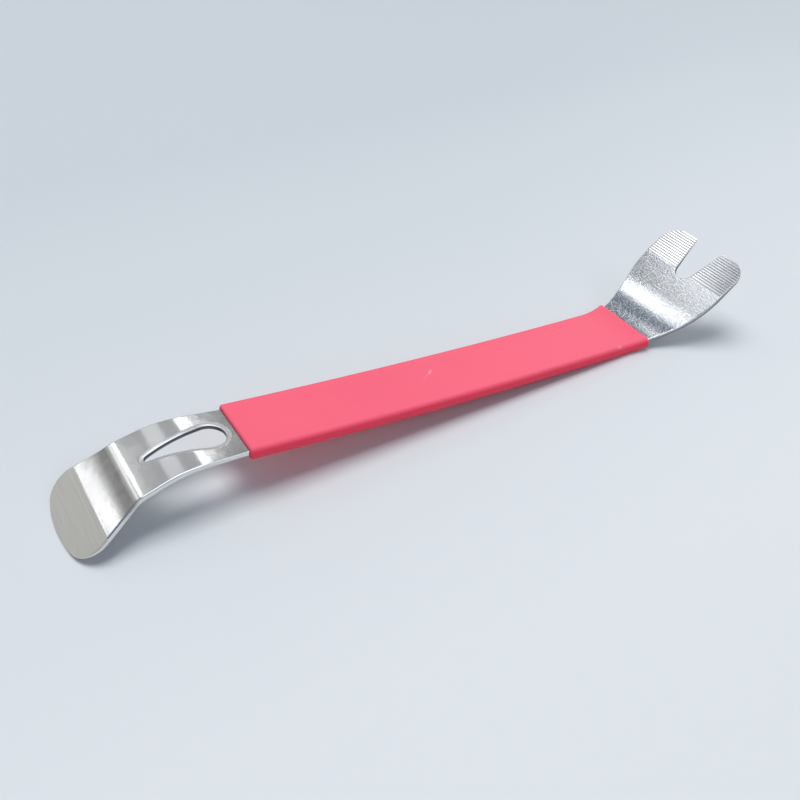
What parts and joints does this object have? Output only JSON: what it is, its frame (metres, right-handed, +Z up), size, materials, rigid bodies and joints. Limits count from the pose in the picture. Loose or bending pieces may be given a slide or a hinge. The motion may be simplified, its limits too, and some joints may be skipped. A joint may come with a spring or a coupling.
{
  "type": "trim removal tool",
  "caption": "Bent steel strip pry tool for trim clips, with a broad toe and tapered slot at one end, a notched fork at the other and a soft sleeve grip.",
  "frame": {"origin": "on the bench, under the middle of the tool's bounding box, as the tool lies at rest", "axes": "+X along the tool towards the fork, +Z up from the bench, +Y across the tool"},
  "size_m": [0.2246, 0.0352, 0.0242],
  "materials": {
    "plated_steel": "bright plated, ground at the two ends",
    "red_sleeve": "satin soft vinyl"
  },
  "bodies": {
    "root": {"steel_blade": "plated_steel", "grip_sleeve": "red_sleeve"}
  },
  "joints": []
}
